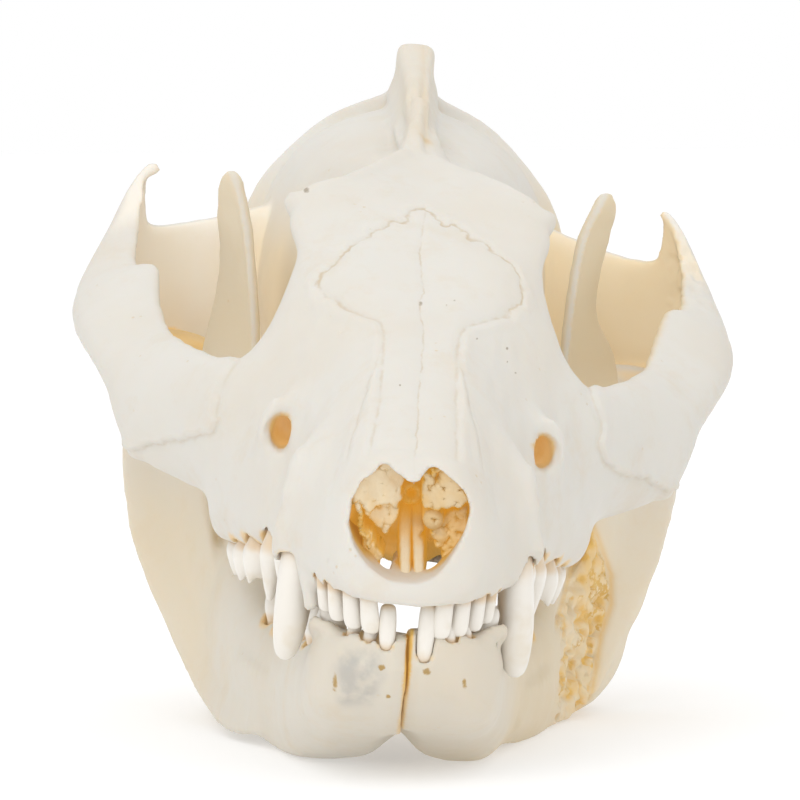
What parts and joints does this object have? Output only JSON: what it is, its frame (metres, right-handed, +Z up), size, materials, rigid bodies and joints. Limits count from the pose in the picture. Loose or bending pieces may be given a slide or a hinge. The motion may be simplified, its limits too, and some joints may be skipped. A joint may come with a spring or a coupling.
{
  "type": "opossum skull",
  "caption": "Dry adult opossum skull resting on its lower jaw, with a tall midline crest, wide cheek arches, an open nose and teeth set in sockets, for study or display.",
  "frame": {"origin": "centre of the base of the bounding box, on the table", "axes": "+Z up, -Y the way the snout points, +X to the animal's left"},
  "size_m": [0.0672, 0.1124, 0.0686],
  "materials": {
    "bone": "dry satin bone, cleaned and pale, tan in the hollows and seams",
    "jaw_bone": "dry satin bone, a little creamier than the cranium",
    "enamel": "glossy near-white tooth enamel, tan at the roots"
  },
  "bodies": {
    "root": {"cranium": "bone", "dentary_left": "jaw_bone", "dentary_right": "jaw_bone", "lower_canine_left": "enamel", "lower_canine_right": "enamel", "lower_incisor_2_left": "enamel", "lower_incisor_2_right": "enamel", "lower_incisor_3_left": "enamel", "lower_incisor_3_right": "enamel", "lower_incisor_4_left": "enamel", "lower_incisor_4_right": "enamel", "lower_molar_1_left": "enamel", "lower_molar_1_right": "enamel", "lower_molar_2_left": "enamel", "lower_molar_2_right": "enamel", "lower_molar_3_left": "enamel", "lower_molar_3_right": "enamel", "lower_molar_4_left": "enamel", "lower_molar_4_right": "enamel", "lower_premolar_1_left": "enamel", "lower_premolar_1_right": "enamel", "lower_premolar_2_left": "enamel", "lower_premolar_2_right": "enamel", "lower_premolar_3_left": "enamel", "lower_premolar_3_right": "enamel", "upper_canine_left": "enamel", "upper_canine_right": "enamel", "upper_incisor_2_left": "enamel", "upper_incisor_2_right": "enamel", "upper_incisor_3_left": "enamel", "upper_incisor_3_right": "enamel", "upper_incisor_4_left": "enamel", "upper_incisor_4_right": "enamel", "upper_incisor_5_left": "enamel", "upper_incisor_5_right": "enamel", "upper_molar_1_left": "enamel", "upper_molar_1_right": "enamel", "upper_molar_2_left": "enamel", "upper_molar_2_right": "enamel", "upper_molar_3_left": "enamel", "upper_molar_3_right": "enamel", "upper_molar_4_left": "enamel", "upper_molar_4_right": "enamel", "upper_premolar_1_left": "enamel", "upper_premolar_1_right": "enamel", "upper_premolar_2_left": "enamel", "upper_premolar_2_right": "enamel", "upper_premolar_3_left": "enamel", "upper_premolar_3_right": "enamel"}
  },
  "joints": []
}
